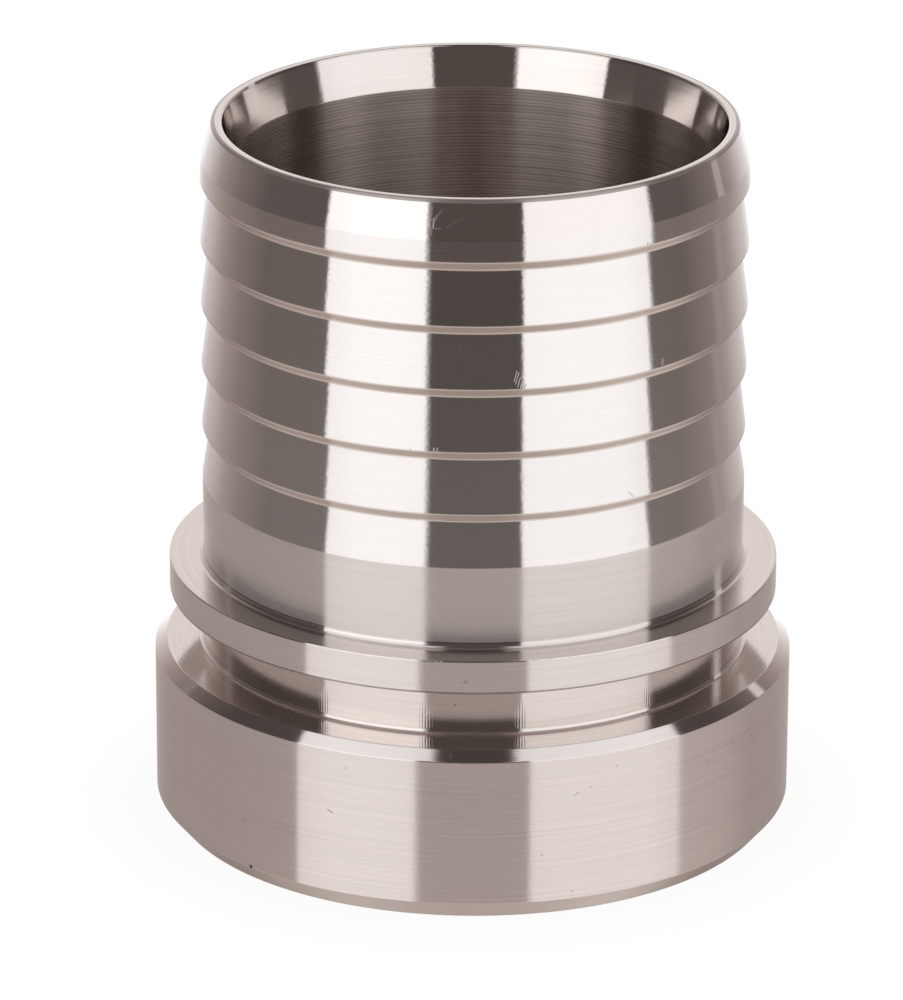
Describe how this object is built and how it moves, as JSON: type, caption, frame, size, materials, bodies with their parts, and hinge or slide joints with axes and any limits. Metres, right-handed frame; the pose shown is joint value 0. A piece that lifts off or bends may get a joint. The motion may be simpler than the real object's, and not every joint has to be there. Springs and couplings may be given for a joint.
{
  "type": "weld-on hose tail",
  "caption": "Turned stainless hose tail: a barbed tube with a stop collar and a sleeve groove, above a bevelled ring that is butt-welded to a pipe.",
  "frame": {"origin": "centre of the weld face, at the foot of the ring", "axes": "+Z along the bore, towards the hose end; the part is turned, so X and Y may point anywhere across it"},
  "size_m": [0.0603, 0.0602, 0.0678],
  "materials": {
    "turned_steel": "turned stainless steel, bright on the barbs and satin on the land, the collar and the ring, with fine turning lines"
  },
  "bodies": {
    "root": {"hose_tail": "turned_steel"}
  },
  "joints": []
}
